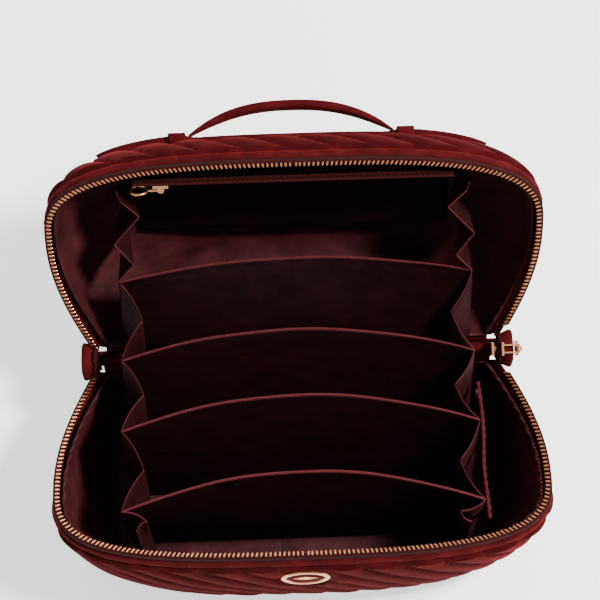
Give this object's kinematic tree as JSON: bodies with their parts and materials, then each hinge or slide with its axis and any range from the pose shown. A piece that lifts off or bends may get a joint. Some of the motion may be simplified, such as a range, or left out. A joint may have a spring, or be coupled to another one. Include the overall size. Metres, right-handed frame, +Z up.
{
  "type": "makeup bag",
  "caption": "Quilted velvet zip-around makeup bag, shown open, with a domed hinged lid, cloth dividers and a top handle.",
  "frame": {"origin": "middle of the base's underside, on the surface the bag stands on", "axes": "+X along the bag's width, -Y to the bag's front, +Z up"},
  "size_m": [0.29, 0.2672, 0.1762],
  "materials": {
    "velvet": "quilted velvet pile",
    "satin_lining": "satin",
    "zip_tape": "woven tape",
    "rose_gold_metal": "polished rose gold",
    "gold_metal": "polished gold",
    "elastic": "textured elastic",
    "snap": "gloss",
    "board": "plain"
  },
  "bodies": {
    "tub": {"base_panel": "velvet", "base_board": "board", "tub_front_panel": "velvet", "tub_left_panel": "velvet", "tub_right_panel": "velvet", "tub_back_panel": "velvet", "tub_lining": "satin_lining", "tub_band": "velvet", "tub_zip_tape": "zip_tape", "tub_zip_teeth": "rose_gold_metal", "spine": "velvet", "zip_end_tab_left": "velvet", "zip_end_tab_right": "velvet", "emblem_plaque": "rose_gold_metal", "divider_front": "satin_lining", "gusset_left": "satin_lining", "gusset_right": "satin_lining", "elastic_strip": "elastic", "snap_button": "snap"},
    "lid": {"lid_front_panel": "velvet", "lid_left_panel": "velvet", "lid_right_panel": "velvet", "lid_rear_panel": "velvet", "lid_top_panel": "velvet", "lid_lining": "satin_lining", "lid_band": "velvet", "lid_zip_tape": "zip_tape", "lid_zip_teeth": "rose_gold_metal", "strap_base": "velvet", "handle_end_left": "velvet", "handle_end_right": "velvet", "keeper_left": "velvet", "keeper_right": "velvet", "lid_pocket": "satin_lining", "pocket_zip": "zip_tape"},
    "handle": {"handle_arch": "velvet"},
    "rear_flap": {"divider_rear": "satin_lining"},
    "third_flap": {"divider_third": "satin_lining"},
    "second_flap": {"divider_second": "satin_lining"},
    "slider": {"zip_slider": "gold_metal"},
    "pull": {"zip_pull": "gold_metal"},
    "pocket_runner": {"pocket_slider": "gold_metal"},
    "pocket_ring": {"pocket_pull": "gold_metal"}
  },
  "joints": [
    {"name": "lid_close", "type": "hinge", "parent": "tub", "child": "lid", "pos_m": [0, 0.065, 0.062], "axis": [1, 0, 0], "range_deg": [0, 110]},
    {"name": "rear_flap_tilt", "type": "hinge", "parent": "tub", "child": "rear_flap", "pos_m": [0, 0.065, 0.062], "axis": [1, 0, 0], "range_deg": [0, 66.1]},
    {"name": "third_flap_tilt", "type": "hinge", "parent": "tub", "child": "third_flap", "pos_m": [0, 0.027, 0.0074], "axis": [1, 0, 0], "range_deg": [0, 24.3]},
    {"name": "second_flap_tilt", "type": "hinge", "parent": "tub", "child": "second_flap", "pos_m": [0, -0.003, 0.0074], "axis": [1, 0, 0], "range_deg": [0, 11.1]},
    {"name": "slider_turn", "type": "hinge", "parent": "tub", "child": "slider", "pos_m": [0, 0.065, 0.062], "axis": [1, 0, 0], "range_deg": [0, 55.1]},
    {"name": "pull_swing", "type": "hinge", "parent": "slider", "child": "pull", "pos_m": [0.1325, 0.06002, 0.07433], "axis": [0, 0.9272, 0.3746], "range_deg": [-60, 4]},
    {"name": "handle_swing", "type": "hinge", "parent": "lid", "child": "handle", "pos_m": [0, 0.17364, 0.14327], "axis": [1, 0, 0], "range_deg": [-45, 40]},
    {"name": "pocket_slide", "type": "slide", "parent": "lid", "child": "pocket_runner", "axis": [1, 0, 0], "range_m": [0, 0.15]},
    {"name": "pocket_ring_swing", "type": "hinge", "parent": "pocket_runner", "child": "pocket_ring", "pos_m": [-0.076, 0.13319, 0.15782], "axis": [0, 0.8387, -0.5446], "range_deg": [-150, 8]}
  ],
  "couplings": [
    {"joint": "rear_flap_tilt", "follows": "lid_close", "ratio": 0.6},
    {"joint": "third_flap_tilt", "follows": "lid_close", "ratio": 0.22},
    {"joint": "second_flap_tilt", "follows": "lid_close", "ratio": 0.1},
    {"joint": "slider_turn", "follows": "lid_close", "ratio": 0.5}
  ]
}
